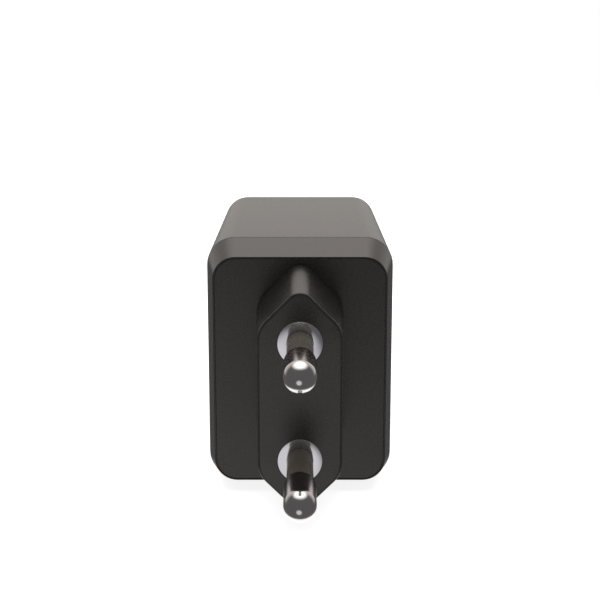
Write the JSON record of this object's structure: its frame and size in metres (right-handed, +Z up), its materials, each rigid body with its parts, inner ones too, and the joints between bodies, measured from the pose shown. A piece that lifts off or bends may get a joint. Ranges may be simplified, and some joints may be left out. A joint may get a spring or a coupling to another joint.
{
  "type": "usb wall charger",
  "caption": "Compact wall charger: rounded rectangular case with a fixed round-pin mains plug at one end and charging ports at the other.",
  "frame": {"origin": "centre of the plug's engagement face, midway between the two pins", "axes": "-Y along the pins towards the socket, +Y back through the case, +Z up from the lower pin to the upper pin, +X to the right when facing the pins"},
  "size_m": [0.0322, 0.095, 0.0438],
  "materials": {
    "case_moulding": "satin moulded polycarbonate",
    "pin_metal": "polished nickel plate on brass",
    "pin_sleeve": "smooth dark insulating sleeve",
    "pin_ring": "polished stainless steel",
    "carrier_plastic": "glass-filled nylon",
    "contact_brass": "tinned brass strip",
    "port_shell": "stamped stainless steel",
    "port_insulator": "black moulded nylon",
    "port_contact": "gold flash on copper alloy",
    "board": "glass-epoxy board with solder mask",
    "header_plastic": "moulded header",
    "header_metal": "tinned pin",
    "fuse_body": "glazed ceramic tube",
    "fuse_cap": "plated cap",
    "thermistor": "dipped disc",
    "film_box": "moulded film capacitor box",
    "ferrite": "sintered ferrite",
    "copper_wire": "enamelled copper wire",
    "coil_base": "phenolic base",
    "chip_package": "moulded epoxy package",
    "capacitor_can": "sleeved aluminium can",
    "disc_capacitor": "dipped ceramic disc",
    "polymer_can": "bare aluminium can",
    "bobbin": "phenolic bobbin",
    "winding_outer": "triple-insulated wire",
    "tape": "polyester film tape",
    "chip_ceramic": "ceramic chip",
    "chip_resistor": "thick-film chip",
    "thermal_pad": "silicone gap pad",
    "spreader": "rolled aluminium sheet",
    "insulation": "polyester sheet"
  },
  "bodies": {
    "root": {"plug_plate": "case_moulding", "front_collar": "case_moulding", "rear_housing": "case_moulding", "port_plate": "case_moulding", "upper_pin": "pin_metal", "lower_pin": "pin_metal", "upper_pin_sleeve": "pin_sleeve", "lower_pin_sleeve": "pin_sleeve", "upper_pin_ring": "pin_ring", "lower_pin_ring": "pin_ring", "pin_carrier": "carrier_plastic", "upper_contact": "contact_brass", "lower_contact": "contact_brass", "usb_c_shell": "port_shell", "usb_a_shell": "port_shell", "usb_c_insulator": "port_insulator", "usb_a_insulator": "port_insulator", "usb_c_contacts": "port_contact", "usb_a_contacts": "port_contact", "main_board": "board", "port_board": "board", "header_block": "header_plastic", "header_pins": "header_metal", "fuse_tube": "fuse_body", "fuse_caps": "fuse_cap", "thermistor": "thermistor", "filter_capacitor": "film_box", "choke_core": "ferrite", "choke_windings": "copper_wire", "choke_base": "coil_base", "bridge_rectifier": "chip_package", "bulk_capacitors": "capacitor_can", "switch_chip": "chip_package", "control_chip": "chip_package", "optocoupler": "chip_package", "safety_capacitor": "disc_capacitor", "transformer_bobbin": "bobbin", "primary_winding": "copper_wire", "secondary_winding": "winding_outer", "lower_core_half": "ferrite", "upper_core_half": "ferrite", "core_tape": "tape", "rectifier_chip": "chip_package", "output_capacitors": "polymer_can", "protocol_chip": "chip_package", "chip_capacitors": "chip_ceramic", "chip_resistors": "chip_resistor", "thermal_pads": "thermal_pad", "heat_spreader": "spreader", "insulation_sheet": "insulation"}
  },
  "joints": []
}
